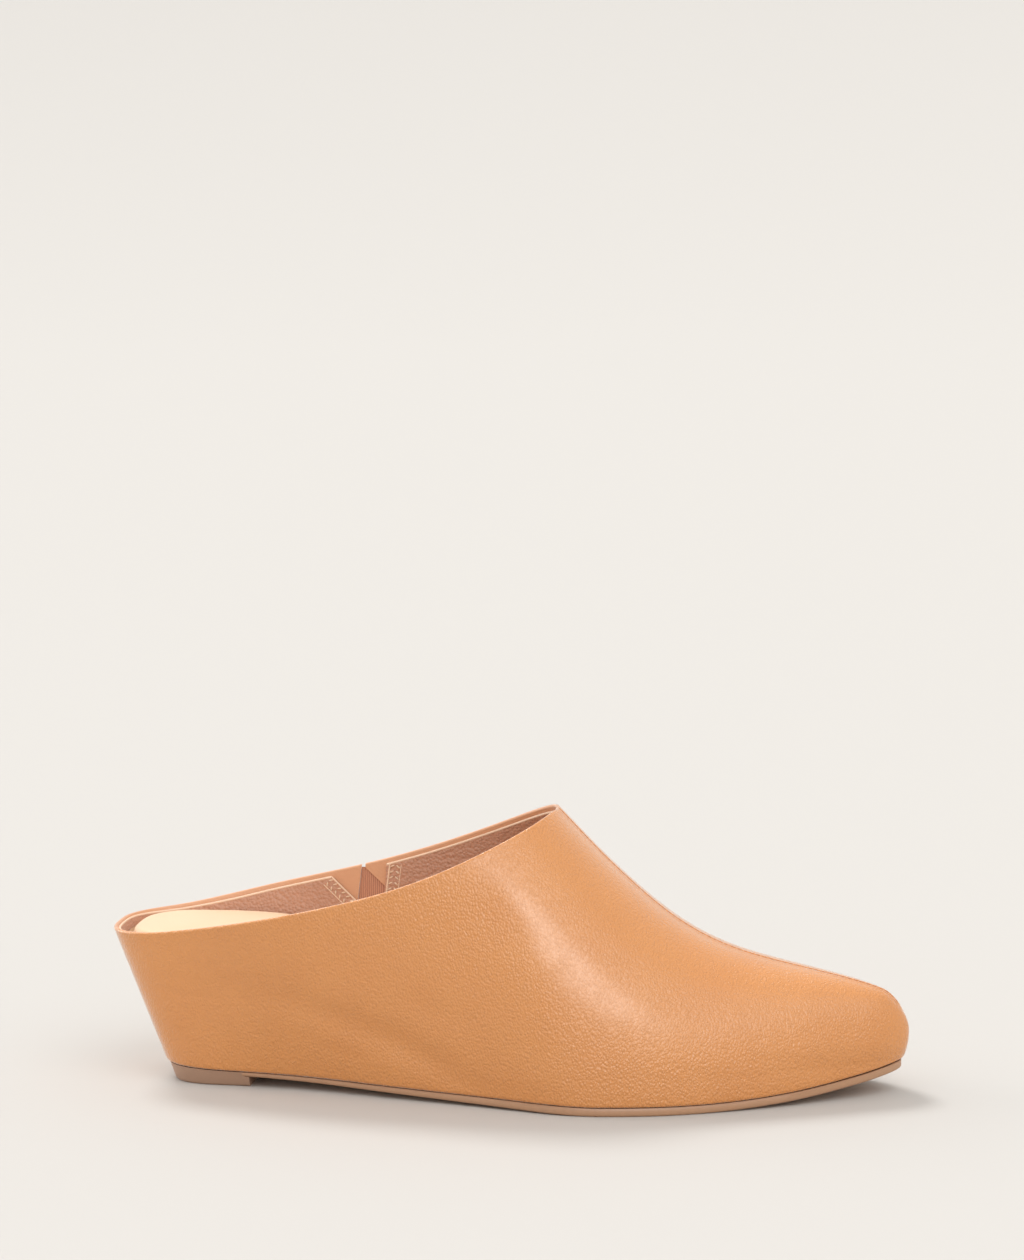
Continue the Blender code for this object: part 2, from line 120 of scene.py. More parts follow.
# Sections: ridge height as a share of the throat height, swing of the middle
# as a share of the ball width, fullness of the wall and crown, and how far
# the lateral and medial walls lean outward
CROWN = {
    "at":    (0.00, 0.10, 0.20, 0.30, 0.40, 0.50, 0.55, 0.59, 0.62,
              0.66, 0.70, 0.74, 0.79, 0.84, 0.90, 0.95, 1.00),
    "ridge": (1.56, 1.56, 1.54, 1.50, 1.42, 1.25, 1.13, 1.00, 0.888,
              0.755, 0.645, 0.565, 0.502, 0.462, 0.422, 0.384, 0.330),
    "swing": (0.00, 0.00, 0.00, 0.00, 0.00, 0.00, 0.00, 0.00, 0.001,
              0.004, 0.008, 0.014, 0.022, 0.034, 0.047, 0.058, 0.068),
    "wall":  (0.70, 0.70, 0.68, 0.64, 0.60, 0.57, 0.56, 0.55, 0.55,
              0.55, 0.56, 0.57, 0.58, 0.60, 0.60, 0.60, 0.60),
    "crown": (0.80, 0.78, 0.74, 0.66, 0.58, 0.50, 0.47, 0.45, 0.45,
              0.46, 0.48, 0.50, 0.53, 0.56, 0.60, 0.62, 0.64),
    "lateral": (0.00, 0.11, 0.18, 0.115, 0.065, 0.045, 0.045, 0.05, 0.06,
                0.07, 0.08, 0.09, 0.10, 0.10, 0.10, 0.10, 0.10),
    "medial":  (0.00, 0.11, 0.18, 0.155, 0.120, 0.090, 0.075, 0.065, 0.06,
                0.07, 0.08, 0.09, 0.10, 0.10, 0.10, 0.10, 0.10),
}

# Rise of the collar from the back to the throat, as shares of that rise
COLLAR = {
    "along":   (0.0, 0.10, 0.20, 0.30, 0.40, 0.50, 0.60, 0.70, 0.80, 0.90, 1.00),
    "lateral": (0.0, 0.025, 0.080, 0.148, 0.222, 0.302, 0.395, 0.510, 0.655, 0.825, 1.00),
    "medial":  (0.0, 0.035, 0.105, 0.188, 0.270, 0.355, 0.450, 0.560, 0.688, 0.835, 1.00),
}

# Fall of the footbed from the heel seat to the ball, along the length
FOOTBED = {
    "along": (0.00, 0.06, 0.12, 0.20, 0.28, 0.36, 0.44, 0.52, 0.60, 0.66, 0.72, 1.00),
    "rise":  (1.00, 1.005, 1.00, 0.985, 0.885, 0.680, 0.430, 0.215, 0.070, 0.015, 0.00, 0.00),
}

# Corners of the gore: shares of its width forward of the notch, and of its
# depth below the collar
GORE = {
    "across": (-0.20, 0.67, 0.80),
    "down":   (0.57, 1.00, 0.44),
}


def spline(xs, ys, at):
    """Natural cubic through the points (xs, ys), read at the stations at."""
    xs, ys = np.asarray(xs, float), np.asarray(ys, float)
    at = np.asarray(at, float)
    count, steps = len(xs), np.diff(xs)
    slopes = np.diff(ys) / steps
    matrix, right = np.eye(count), np.zeros(count)
    for i in range(1, count - 1):
        matrix[i, i - 1:i + 2] = steps[i - 1], 2 * (steps[i - 1] + steps[i]), steps[i]
        right[i] = 6 * (slopes[i] - slopes[i - 1])
    bend = np.linalg.solve(matrix, right)
    k = np.clip(np.searchsorted(xs, at) - 1, 0, count - 2)
    run, step = at - xs[k], steps[k]
    start = slopes[k] - step * (2 * bend[k] + bend[k + 1]) / 6
    return ys[k] + start * run + bend[k] / 2 * run**2 + (bend[k + 1] - bend[k]) / (6 * step) * run**3


def column(table, name, at):
    """A table's column, smoothly read at the stations in its first column."""
    return spline(next(iter(table.values())), table[name], at)


def ease(distance, reach, squareness):
    """1 away from an end, falling to 0 at the end along a rounded outline."""
    short = np.clip(1 - distance / reach, 0, 1)
    return (1 - short**squareness) ** (1 / squareness)


def tread(at):
    """Height of the outsole's underside: up at the waist, flat at the ball, sprung at the toe."""
    at = np.asarray(at, float)
    back = WAIST_RISE * np.clip(1 - at / TREAD_BACK, 0, 1) ** TREAD_BACK_BEND
    front = np.clip((at - TREAD_FRONT) / (1 - TREAD_FRONT), 0, 1) ** TREAD_FRONT_BEND
    return back + TOE_SPRING * front


def feather(at):
    """Height of the upper's bottom edge."""
    run = OUTSOLE_BALL_START - OUTSOLE_WAIST_END
    full = np.clip((np.asarray(at, float) - OUTSOLE_WAIST_END) / run, 0, 1)
    return tread(at) + OUTSOLE_WAIST + (OUTSOLE_BALL - OUTSOLE_WAIST) * full


def station_of(x):
    """Station of the bottom edge at x."""
    return np.clip((np.asarray(x, float) - BACK_RAKE) / (LENGTH - BACK_RAKE), 0, 1)


def section(side, at, t):
    """Point of the upper's outside: side -1 lateral, 1 medial, t 0 at the bottom edge, 1 at the ridge."""
    at, t = np.broadcast_arrays(np.asarray(at, float), np.asarray(t, float))
    to_toe = (1 - at) * LENGTH
    low = feather(at)
    nose = low + NOSE_HEIGHT
    above = column(CROWN, "ridge", at) * THROAT_HEIGHT - nose
    high = nose + above * ease(to_toe, NOSE_ROUND, NOSE_SQUARENESS)
    toe_end = ease(to_toe, TOE_ROUND, TOE_SQUARENESS)
    name = "medial" if side > 0 else "lateral"
    wide = column(PLAN, name, at) * BALL_WIDTH
    wide = wide * ease(at * LENGTH, HEEL_ROUND, HEEL_SQUARENESS) * toe_end
    s = 1 - t
    up = 3 * s * s * t * column(CROWN, "wall", at) + 3 * s * t * t + t**3
    out = s**3 + 3 * s * s * t + 3 * s * t * t * column(CROWN, "crown", at)
    z = low + (high - low) * up
    lean = toe_end * column(CROWN, name, at) * (z - low) * (1 - t**3)
    y = column(CROWN, "swing", at) * BALL_WIDTH + side * (wide * out + lean)
    back = BACK_RAKE * (COLLAR_BACK_HEIGHT - z) / (COLLAR_BACK_HEIGHT - float(feather(0.0)))
    under_nose = np.clip((float(feather(1.0)) + NOSE_HEIGHT - z) / NOSE_HEIGHT, 0, 1)
    x = back * (1 - at) + (LENGTH - NOSE_TUCK * under_nose**2) * at
    return np.stack([x, y, z], -1)


def throat():
    """Station and point where the collar meets the ridge."""
    at = np.linspace(0.3, 0.9, 1201)
    ridge = section(1, at, 1.0)
    station = float(np.interp(LENGTH - VAMP_LENGTH, ridge[:, 0], at))
    return station, section(1, station, 1.0)


def collar_height(side, x):
    """Height of the collar's edge beside a point of the length."""
    top = throat()[1]
    rise = column(COLLAR, "medial" if side > 0 else "lateral", np.clip(x / top[0], 0, 1))
    return COLLAR_BACK_HEIGHT + (top[2] - COLLAR_BACK_HEIGHT) * rise


def crossing(side, stations, height):
    """The t of each station where the upper's outside reaches height(x)."""
    ts = np.linspace(0, 1, 241)
    points = section(side, stations[:, None], ts[None, :])
    over = points[..., 2] - height(points[..., 0])
    over[:, 0] = np.minimum(over[:, 0], 0)
    found = []
    for row in over:
        i = int(np.argmax(row > 0))
        found.append(1.0 if i == 0 else float(np.interp(0, row[i - 1:i + 1], ts[i - 1:i + 1])))
    return np.array(found)


def arc_lengths(points):
    """Length walked along a line of points, up to each of them."""
    return np.concatenate([[0], np.cumsum(np.linalg.norm(np.diff(points, axis=0), axis=1))])


def along_arc(points, shares):
    """Places, as fractional indices, at shares of the length of a line of points."""
    walked = arc_lengths(points)
    return np.interp(np.asarray(shares) * walked[-1], walked, np.arange(len(points)))


# Fineness of the visible surfaces: ribs behind and before the throat, rows, sampled points
LEATHER_RIBS = (150, 110)
LINING_RIBS = (90, 50)
ELASTIC_RIBS = (120, 8)
LEATHER_ROWS = 64
LINING_ROWS = 26
ELASTIC_ROWS = 32
FOOT_ROWS = (0.0012, 0.003, 0.0055, 0.009)
TOP_ROWS = (0.011, 0.0075, 0.005, 0.003, 0.0015)
FOOT_SAMPLES = 2401
TOP_SAMPLES = 1201
OUTLINE_SAMPLES = 481

# Where ribs start and how closely they stand
THROAT_FOOT = 0.62
END_CROWDING = 0.6
COLLAR_CROWDING = 1.5

# Layers of the wall, as depths from its outside
LEATHER = 1.3 * MM
COLLAR_LEAN = 1.15
RIM_TURNS = (30, 60, 90, 120, 150)
RIM_TOP = 3
FOOT_TURN = 1.0 * MM
FOOT_TURN_IN = 0.8
LINING_OUT = 1.35 * MM
LINING_IN = 2.0 * MM
ELASTIC_OUT = 0.25 * MM
ELASTIC_IN = 0.95 * MM
ELASTIC_PLAY = 0.1 * MM
BAND = 2.2 * MM
BACK_BAND = 0.45
BAND_REACH = 34 * MM
PIPING = 0.42 * MM

# Soft fold in the wall under the footbed's line, in millimetres from the collar's back.
# It fades toward the middle line, and no fold is deeper than the lining allows.
FOLD_WIDTH = 5.5
FOLD_FADE = 12
DEEPEST = 1.1
FOLD = {
    "along":  (24, 40, 55, 75, 97, 113, 128, 140),
    "height": (35, 33.5, 31.5, 26, 18.5, 11, 5, 2),
    "depth":  (0.0, 0.20, 0.45, 0.90, 1.00, 0.70, 0.20, 0.0),
}

# Small creases, in millimetres, fading over a quarter of their length at each end
CREASE_ENDS = 4
CREASE_BOW = 0.06
CREASES = (
    # side, x0, z0, x1, z1, width, depth
    (-1, 14, 32.5, 40, 30.5, 1.6, 0.16),
    (-1, 16, 36.5, 36, 35.5, 1.3, 0.10),
    (-1, 60, 21.0, 92, 12.0, 2.4, 0.14),
    (-1, 96, 36.0, 124, 27.0, 4.5, 0.25),
    (-1, 118, 68.0, 150, 50.0, 7.0, 0.28),
    (-1, 146, 50.0, 172, 34.0, 6.0, 0.18),
    (-1, 196, 20.0, 236, 14.0, 3.0, 0.18),
    (1, 15, 31.0, 42, 29.0, 1.7, 0.15),
    (1, 58, 22.0, 90, 13.0, 2.6, 0.15),
    (1, 98, 38.0, 122, 29.0, 4.5, 0.20),
)

# Footbed's visible pad
PAD_ROUND = 2.6 * MM
PAD_BACK = 3.4 * MM
PAD_BACK_REACH = 34 * MM
PAD_NARROW = 0.07
PAD_SINK = 0.9 * MM
PAD_TURNS = (-90, 0, 15, 30, 45, 60, 75, 90)
PAD_SHARES = (0.94, 0.85, 0.72, 0.55, 0.38, 0.2)
PAD_ENDS = 0.1

# Sole's edge and the lift's, as steps inward and up
BEVEL_KNEE = 0.35
SOLE_TOP_DROP = 0.25 * MM
SOLE_TOP_INSET = 0.2 * MM
LIFT_STEPS = ((1.0, 0.0), (0.35, 0.35), (0.0, 1.0))

# Centre seam: groove, lips and stitches
SEAM_START = 2.6 * MM
SEAM_END = 2.0 * MM
SEAM_WIDTH = 0.9 * MM
SEAM_DEPTH = 0.34 * MM
SEAM_LIP = 0.2 * MM
GROOVE_SHARPNESS = 2.2
LIP_SHARPNESS = 1.8
SEAM_PITCH = 2.1 * MM
SEAM_STITCH = 1.5 * MM
THREAD = 0.24 * MM

# Points measured against the seam: how far before its start, how far beside it
# in millimetres, and how many at a time
SEAM_LEAD = 10 * MM
SEAM_BAND = 6
SEAM_BLOCK = 1500

# Lining's cut round the gore: places of its corners along the rim and their depths, in millimetres
LINING_CUT = {
    "along": (63.3, 84.7, 82.0),
    "down":  (0.0, 0.0, 22.0),
}
CUT_OVERSHOOT = 0.5
CUT_ABOVE = 20 * MM

# Turned edges of that cut, and the slanted stitches beside them
CUT_BAND = 3.7 * MM
CUT_BEADS = ((0.0, 0.30 * MM), (CUT_BAND, 0.16 * MM))
CUT_BEAD_START = 0.09
CUT_BEAD_STEPS = 24
CUT_BEAD_LIFT = 0.02 * MM
CUT_ROW = 0.9 * MM
CUT_ROW_START = 0.8 * MM
CUT_ROW_END = 0.4 * MM
CUT_PITCH = 1.9 * MM
CUT_SLANT = 0.35
CUT_ACROSS = 0.5
CUT_STITCH = 0.85
CUT_THREAD = 0.26 * MM
CUT_THREAD_LIFT = 0.05 * MM

# Leather's grain, in degrees turned about the shoe's width
GRAIN_TURN = 32

# Camera, set to the photograph's view
PICTURE = (1024, 1260)
VIEW_AZIMUTH = 8.0
VIEW_ELEVATION = 12.5
VIEW_DISTANCE = 1.25
VIEW_SCALE = 3130
AIM = (LENGTH / 2, 0.0, 35 * MM)
AIM_PIXEL = (508.3, 974.4)
SENSOR = 36.0
CLIP = (0.01, 40.0)

# Studio: a floor flat to a radius, then curving up, with a pale sky and soft lights
FLOOR_FLAT = 4
FLOOR_CURVE = 9
FLOOR_SWEEP = 40
FLOOR_RINGS = 17
FLOOR_SIDES = 96
FLOOR_COLOUR = (0.585, 0.576, 0.563)
SKY_COLOUR = (0.86, 0.835, 0.80)
LAMP_COLOUR = (1.0, 0.98, 0.95)
SUN_DISTANCE = 1.5
SUNS = (
    # name, azimuth, elevation, spread, strength
    ("back_left", -140, 56, 18, 1.50),
    ("front_right", 38, 50, 50, 0.75),
    ("left", -98, 18, 40, 0.75),
)
SOFTBOXES = (
    # name, azimuth, elevation, distance, width, height, power
    ("soft_strip", 17, 25, 1.15, 0.62, 0.16, 7.5),
    ("left_glow", -100, 12, 1.15, 0.50, 0.50, 5.0),
)


def unit(vectors):
    """The same directions with length 1."""
    return vectors / np.linalg.norm(vectors, axis=-1)[..., None]


def both_ends(count):
    """Shares from 0 to 1 that lie closer together near both ends."""
    return 0.5 * (1 - np.cos(np.pi * np.linspace(0, 1, count)))


def crowded(count, crowding=END_CROWDING):
    """Shares from 0 to 1 that lie closer together near 0, where the ends turn."""
    w = np.linspace(0, 1, count + 1)
    return crowding * (1 - np.cos(0.5 * np.pi * w)) + (1 - crowding) * w


def below_rim(x, drop):
    """Vertical distance below the collar, smaller at its back."""
    return drop * (BACK_BAND + (1 - BACK_BAND) * np.clip(np.asarray(x) / BAND_REACH, 0, 1))


def lowered_throat(drop):
    """Station where the ridge is a drop below the throat."""
    start, top = throat()
    at = np.linspace(start, start + 0.1, 400)
    return float(np.interp(drop, top[2] - section(1, at, 1.0)[:, 2], at))


def ribs(side, counts, drop):
    """Foot stations, top stations and top t values of ribs that end a drop below the collar."""
    dense = both_ends(FOOT_SAMPLES)
    feet_line = section(-1, dense, 0.0)
    middle = lowered_throat(drop)
    collar_at = middle * (1 - (1 - both_ends(TOP_SAMPLES)) ** COLLAR_CROWDING)
    collar_t = crossing(side, collar_at, lambda x: collar_height(side, x) - below_rim(x, drop))
    collar_t[-1] = 1.0
    picked = along_arc(section(side, collar_at, collar_t), crowded(counts[0]))
    steps = np.arange(len(collar_at))
    top_at = np.interp(picked, steps, collar_at)
    top_t = np.interp(picked, steps, collar_t)
    ridge_at = middle + (1 - middle) * np.sin(0.5 * np.pi * np.linspace(0, 1, TOP_SAMPLES))
    picked = along_arc(section(side, ridge_at, 1.0), 1 - crowded(counts[1])[::-1])[1:]
    top_at = np.concatenate([top_at, np.interp(picked, np.arange(len(ridge_at)), ridge_at)])
    top_t = np.concatenate([top_t, np.ones(counts[1])])
    back = THROAT_FOOT * crowded(counts[0])
    front = 1 - (1 - THROAT_FOOT) * crowded(counts[1])[::-1]
    shares = np.concatenate([back, front[1:]])
    feet = np.interp(along_arc(feet_line, shares), np.arange(len(dense)), dense)
    return feet, top_at, top_t


def place(points):
    """From the back of the collar to the part's origin."""
    return np.asarray(points, float) - ORIGIN


class Surface:
    """The upper's outside as a net of points: faces, normals and its two open edges."""

    def __init__(self, counts, rows, drop=0.0):
        last = sum(counts)
        self.index = {}
        found = []
        for side in (-1, 1):
            feet, tops, top_t = ribs(side, counts, drop)
            for row, v in enumerate(rows):
                line = section(side, feet + (tops - feet) * v, top_t * v)
                for rib in range(last + 1):
                    shared = rib in (0, last) or (row == len(rows) - 1 and rib >= counts[0])
                    key = (0 if shared else side, rib, row)
                    if key not in self.index:
                        self.index[key] = len(found)
                        found.append(line[rib])
        self.points = place(np.array(found))
        top = len(rows) - 1
        quads = []
        for side in (-1, 1):
            for rib in range(last):
                for row in range(top):
                    quad = [self.at(side, rib, row), self.at(side, rib + 1, row),
                            self.at(side, rib + 1, row + 1), self.at(side, rib, row + 1)]
                    quads.append(quad if side < 0 else quad[::-1])
        self.quads = np.array(quads)
        self.foot = [self.at(-1, rib, 0) for rib in range(last + 1)]
        self.foot += [self.at(1, rib, 0) for rib in range(last - 1, 0, -1)]
        self.rim = [self.at(-1, rib, top) for rib in range(counts[0] + 1)]
        self.rim += [self.at(1, rib, top) for rib in range(counts[0] - 1, 0, -1)]
        self.normals = self.vertex_normals(self.points)

    def at(self, side, rib, row):
        """Number of a point of the net."""
        key = (side, rib, row)
        return self.index[key] if key in self.index else self.index[0, rib, row]

    def vertex_normals(self, points):
        """Outward unit normals of the net at its points."""
        a, b, c, d = (points[self.quads[:, i]] for i in range(4))
        face = np.cross(c - a, d - b)
        total = np.zeros_like(points)
        for i in range(4):
            np.add.at(total, self.quads[:, i], face)
        return unit(total)


def around(points):
    """Unit direction along a closed line of points."""
    return unit(np.roll(points, -1, axis=0) - np.roll(points, 1, axis=0))


def new_object(name, points, faces, finish, angle=60, lined_from=None, lined=None):
    """A mesh piece from points and faces, shaded smooth; faces from lined_from on get a second finish."""
    mesh = bpy.data.meshes.new(name)
    mesh.from_pydata([tuple(p) for p in points], [], [tuple(int(i) for i in f) for f in faces])
    if lined:
        mesh.polygons.foreach_set("material_index", [int(i >= lined_from) for i in range(len(faces))])
    work = bmesh.new()
    work.from_mesh(mesh)
    bmesh.ops.remove_doubles(work, verts=work.verts, dist=1e-7)
    bmesh.ops.recalc_face_normals(work, faces=work.faces)
    work.to_mesh(mesh)
    work.free()
    mesh.shade_smooth()
    mesh.set_sharp_from_angle(angle=math.radians(angle))
    piece = bpy.data.objects.new(name, mesh)
    bpy.context.scene.collection.objects.link(piece)
    mesh.materials.append(finish)
    if lined:
        mesh.materials.append(lined)
    return piece


def dress(piece, slot, *nodes):
    """Ride on the one body and stand for the CAD nodes; the slot is not used."""
    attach(piece, "root")
    if nodes:
        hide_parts(*nodes)
    return piece


def apply_modifiers(piece):
    """Make what the modifiers show the piece's own mesh."""
    view = bpy.context.evaluated_depsgraph_get()
    mesh = bpy.data.meshes.new_from_object(piece.evaluated_get(view))
    piece.modifiers.clear()
    piece.data = mesh


def lace_rings(rings, closed=True):
    """Quads between neighbouring rings of as many points, given as lists of numbers."""
    faces = []
    for low, high in zip(rings, rings[1:]):
        count = len(low)
        for i in range(count if closed else count - 1):
            j = (i + 1) % count
            faces.append((low[i], low[j], high[j], high[i]))
    return faces


def row_shares(count, foot_extra=(), top_extra=()):
    """Rows from the foot to the top of a rib, with extra ones close to both ends."""
    middle = np.linspace(0, 1, count + 1)[1:-1]
    return np.concatenate([[0], foot_extra, middle, 1 - np.array(top_extra), [1]])


def rim_frame(net):
    """Outward and upward unit directions along the rim."""
    out = net.normals[net.rim]
    return out, unit(np.cross(out, around(net.points[net.rim])))


def leather_upper(finish, inside_finish):
    """The leather: creased outside, edge rolled over the rim, foot turned under, inside face."""
    radius = LEATHER / 2
    net = Surface(LEATHER_RIBS, row_shares(LEATHER_ROWS, FOOT_ROWS, TOP_ROWS), radius * COLLAR_LEAN)
    outer = net.points + net.normals * relief(net.points)[:, None]
    inner = net.points - net.normals * LEATHER
    turn_foot_under(outer, net)
    for ring in (outer, inner):
        ring[net.foot, 2] = net.points[net.foot, 2]
    points = [outer, inner]
    count = len(outer)
    out, up = rim_frame(net)
    middle = (outer[net.rim] + inner[net.rim]) / 2
    rings = [net.rim]
    total = 2 * count
    for turn in np.radians(RIM_TURNS):
        points.append(middle + radius * (math.cos(turn) * out + math.sin(turn) * up))
        rings.append(list(range(total, total + len(net.rim))))
        total += len(net.rim)
    rings.append([i + count for i in net.rim])
    faces = list(net.quads) + lace_rings(rings[:RIM_TOP + 1])
    outside = len(faces)
    faces += lace_rings(rings[RIM_TOP:])
    faces += [tuple(quad[::-1] + count) for quad in net.quads]
    faces += lace_rings([[i + count for i in net.foot], net.foot])
    piece = new_object("leather_upper", np.concatenate(points), faces, finish,
                       lined_from=outside, lined=inside_finish)
    cut(piece, gore_prism("leather_slit", 0.0, THROAT_HEIGHT))
    return dress(piece, "upper_leather", "upper")


def seam_line(count=1500):
    """Points along the ridge from the throat to the toe."""
    return section(1, np.linspace(throat()[0], 1, count), 1.0)


def fold_relief(x, y, z, middle):
    """Height of the soft fold and the creases, in millimetres from coordinates in millimetres."""
    wall = np.clip(np.abs(y - middle) / FOLD_FADE, 0, 1)
    centre = np.interp(x, FOLD["along"], FOLD["height"])
    deep = np.interp(x, FOLD["along"], FOLD["depth"])
    height = -deep * wall * np.exp(-((z - centre) / FOLD_WIDTH) ** 2)
    for side, x0, z0, x1, z1, width, depth in CREASES:
        run = np.array([x1 - x0, z1 - z0])
        share = ((x - x0) * run[0] + (z - z0) * run[1]) / np.sum(run**2)
        off = ((x - x0) * run[1] - (z - z0) * run[0]) / np.linalg.norm(run)
        fade = np.clip(np.minimum(share, 1 - share) * CREASE_ENDS, 0, 1)
        fade = fade * fade * (3 - 2 * fade) * (side * (y - middle) > 0)
        bow = CREASE_BOW * np.linalg.norm(run) * (1 - (2 * share - 1) ** 2)
        height -= depth * fade * np.exp(-((off - bow) / width) ** 2)
    return np.maximum(height, -DEEPEST)


def seam_relief(local, beside):
    """Depth of the centre seam's groove and height of its lips at points beside the middle."""
    line = seam_line()
    near = local[:, 0] > line[0, 0] - SEAM_LEAD
    gap = np.full(len(local), 1.0)
    close = np.where(near & (np.abs(beside) < SEAM_BAND))[0]
    for block in np.array_split(close, max(1, len(close) // SEAM_BLOCK)):
        gap[block] = np.linalg.norm(local[block][:, None] - line[None], axis=2).min(axis=1)
    end = np.clip((LENGTH - SEAM_END - local[:, 0]) / SEAM_END, 0, 1)
    groove = end * SEAM_DEPTH * np.exp(-((gap / SEAM_WIDTH * GROOVE_SHARPNESS) ** 2))
    lips = end * SEAM_LIP * np.exp(-(((gap - SEAM_WIDTH) / SEAM_WIDTH * LIP_SHARPNESS) ** 2))
    return groove, lips


def relief(points):
    """Height of folds, creases and the centre seam over the smooth outside."""
    local = points + ORIGIN
    x, y, z = (local / MM).T
    middle = column(CROWN, "swing", np.clip(x / (LENGTH / MM), 0, 1)) * BALL_WIDTH / MM
    groove, lips = seam_relief(local, y - middle)
    return fold_relief(x, y, z, middle) * MM - groove + lips


def turn_foot_under(points, net):
    """Round the lowest part of the leather inward to the feather line."""
    x = points[:, 0] + ORIGIN[0]
    low = points[:, 2] - feather(station_of(x))
    share = np.clip(1 - low / FOOT_TURN, 0, 1)
    depth = FOOT_TURN * FOOT_TURN_IN * (1 - np.sqrt(np.clip(1 - share**2, 0, 1)))
    points -= net.normals * depth[:, None]


def layer(name, net, depths, finish, foot_gap=None):
    """A closed layer of the wall between two depths from its outside, and its top edge's middle line."""
    outer, inner = (net.points - net.normals * depth for depth in depths)
    if foot_gap is not None:
        for ring in (outer, inner):
            ring[net.foot, 2] = net.points[net.foot, 2] + foot_gap
    count = len(outer)
    faces = list(net.quads) + [tuple(quad[::-1] + count) for quad in net.quads]
    faces += lace_rings([[i + count for i in net.foot], net.foot])
    faces += lace_rings([net.rim, [i + count for i in net.rim]])
    piece = new_object(name, np.concatenate([outer, inner]), faces, finish)
    return piece, (outer[net.rim] + inner[net.rim]) / 2


def lining(finish, bead_finish):
    """The lining behind the leather, cut round the gore, with a piped edge below the rim."""
    net = Surface(LINING_RIBS, row_shares(LINING_ROWS), BAND)
    piece, edge = layer("lining", net, (LINING_OUT, LINING_IN), finish, foot_gap=GAP)
    cut(piece, lining_prism("lining_cut"))
    dress(piece, "upper_leather")
    bead = tube("collar_piping", edge, PIPING, bead_finish)
    cut(bead, lining_prism("piping_cut"))
    dress(bead, "upper_leather")


def prism(name, corners, near, far):
    """A hidden cutter with corners in x and z, from y near to y far."""
    work = bmesh.new()
    front = [work.verts.new(place((x, near, z))) for x, z in corners]
    back = [work.verts.new(place((x, far, z))) for x, z in corners]
    work.faces.new(front)
    work.faces.new(back[::-1])
    for i in range(len(front)):
        j = (i + 1) % len(front)
        work.faces.new([front[i], back[i], back[j], front[j]])
    bmesh.ops.recalc_face_normals(work, faces=work.faces)
    mesh = bpy.data.meshes.new(name)
    work.to_mesh(mesh)
    work.free()
    piece = bpy.data.objects.new(name, mesh)
    bpy.context.scene.collection.objects.link(piece)
    return piece


def cut(piece, tool, operation="DIFFERENCE"):
    """Cut a piece with a cutter, apply the cut and remove the cutter."""
    step = piece.modifiers.new(tool.name, "BOOLEAN")
    step.operation = operation
    step.object = tool
    step.solver = "FAST"
    apply_modifiers(piece)
    bpy.data.objects.remove(tool)


def through_medial_wall(name, corners):
    """A prism that passes through the medial wall only."""
    return prism(name, corners, BALL_WIDTH * GORE_REACH[0], BALL_WIDTH * GORE_REACH[1])


def gore_prism(name, margin, top):
    """A prism through the medial wall with the gore's outline, grown by a margin."""
    middle = GORE_PLACE + GORE_WIDTH * GORE_MIDDLE[0]
    rim = float(collar_height(1, GORE_PLACE))
    half = GORE_NOTCH / 2
    corners = [(GORE_PLACE + half + margin, top), (GORE_PLACE - half - margin, top)]
    corners.append((GORE_PLACE - half - margin, rim - GORE_TOP))
    for across, down in zip(GORE["across"], GORE["down"]):
        x = GORE_PLACE + GORE_WIDTH * across
        z = float(collar_height(1, x)) - GORE_DEPTH * down
        away = unit(np.array([x - middle, z - rim + GORE_DEPTH * GORE_MIDDLE[1]]))
        corners.append(tuple(np.array([x, z]) + margin * GORE_CORNER_MARGIN * away))
    corners.append((GORE_PLACE + half + margin, rim - GORE_TOP))
    return through_medial_wall(name, corners)


def cut_corners():
    """Corners of the lining's cut in x and z: rear, front and lowest."""
    return [(x * MM, float(collar_height(1, x * MM)) - down * MM)
            for x, down in zip(LINING_CUT["along"], LINING_CUT["down"])]


def lining_prism(name):
    """A prism with the outline of the lining's cut, reaching above the rim."""
    rear, front, low = cut_corners()
    slope = (np.array(rear) - low) * CUT_OVERSHOOT
    corners = [tuple(np.array(rear) + slope), tuple(low), (front[0], front[1] + CUT_ABOVE)]
    return through_medial_wall(name, corners)


def elastic(finish):
    """The ribbed elastic panel behind the slit."""
    net = Surface(ELASTIC_RIBS, np.linspace(0, 1, ELASTIC_ROWS + 1))
    piece = layer("elastic_gore", net, (ELASTIC_OUT, ELASTIC_IN), finish)[0]
    top = float(collar_height(1, GORE_PLACE)) - GORE_TOP
    cut(piece, gore_prism("elastic_outline", -ELASTIC_PLAY, top), "INTERSECT")
    return dress(piece, "elastic", "gore")


def outline(height, inset):
    """Plan of the upper at height(x), moved in from its outside, as x and y of its two sides."""
    dense = both_ends(OUTLINE_SAMPLES)

    def loop(lift):
        sides = []
        for side in (-1, 1):
            t = crossing(side, dense, lambda x: height(x) + lift)
            sides.append(section(side, dense, t)[:, :2])
        return np.concatenate([sides[0], sides[1][-2:0:-1]])

    points = loop(0.0)
    along = np.roll(points, -1, axis=0) - np.roll(points, 1, axis=0)
    outward = unit(np.stack([along[:, 1], -along[:, 0]], -1))
    slope = np.sum((loop(MM) - points) * outward, axis=1) / MM
    points = points - outward * (inset * np.sqrt(1 + slope**2))[:, None]
    count = len(dense)
    lateral = points[:count]
    medial = np.concatenate([points[:1], points[:count - 2:-1]])
    return lateral[np.argsort(lateral[:, 0])], medial[np.argsort(medial[:, 0])]


